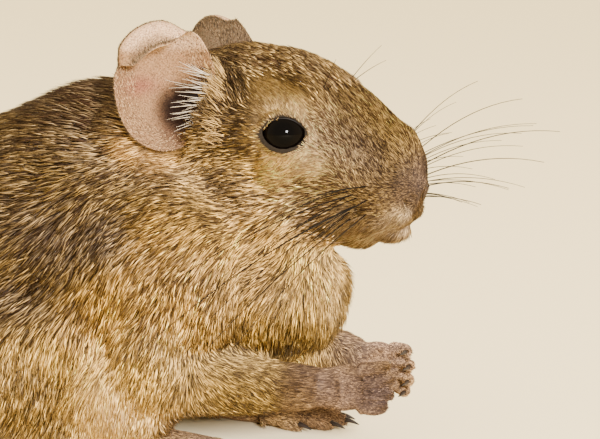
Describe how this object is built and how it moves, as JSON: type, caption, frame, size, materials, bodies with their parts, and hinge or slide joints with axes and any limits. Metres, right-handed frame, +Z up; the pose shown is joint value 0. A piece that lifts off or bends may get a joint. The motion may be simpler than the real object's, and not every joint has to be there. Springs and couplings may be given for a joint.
{
  "type": "degu",
  "caption": "Life-size still model of a degu crouching on its hind feet, forepaws held up before its chest, tail laid out behind and ending in a dark brush.",
  "frame": {"origin": "on the floor, under the middle of the box round the whole animal with its whiskers and tail", "axes": "+X forward from tail to nose, +Y to the animal's left, +Z up"},
  "size_m": [0.2056, 0.0928, 0.0737],
  "materials": {
    "coat": "short dense fur, brown ticked with buff above and paler below",
    "ear_skin": "thin bare skin with a fine down",
    "foot_skin": "grainy skin under sparse short hair",
    "eye": "wet, dark and glossy",
    "claw": "smooth dark horn",
    "tail_brush": "coarse black hair"
  },
  "bodies": {
    "root": {"ear_left": "ear_skin", "ear_right": "ear_skin", "eye_left": "eye", "eye_right": "eye", "foreleg_left": "coat", "foreleg_right": "coat", "forepaw_left": "foot_skin", "forepaw_left_claw_1": "claw", "forepaw_left_claw_2": "claw", "forepaw_left_claw_3": "claw", "forepaw_left_claw_4": "claw", "forepaw_right": "foot_skin", "forepaw_right_claw_1": "claw", "forepaw_right_claw_2": "claw", "forepaw_right_claw_3": "claw", "forepaw_right_claw_4": "claw", "head": "coat", "hind_foot_left": "foot_skin", "hind_foot_left_claw_1": "claw", "hind_foot_left_claw_2": "claw", "hind_foot_left_claw_3": "claw", "hind_foot_left_claw_4": "claw", "hind_foot_left_claw_5": "claw", "hind_foot_right": "foot_skin", "hind_foot_right_claw_1": "claw", "hind_foot_right_claw_2": "claw", "hind_foot_right_claw_3": "claw", "hind_foot_right_claw_4": "claw", "hind_foot_right_claw_5": "claw", "muzzle": "coat", "neck": "coat", "tail_middle": "coat", "tail_root": "coat", "tail_tip": "tail_brush", "thigh_left": "coat", "thigh_right": "coat", "torso": "coat"}
  },
  "joints": []
}
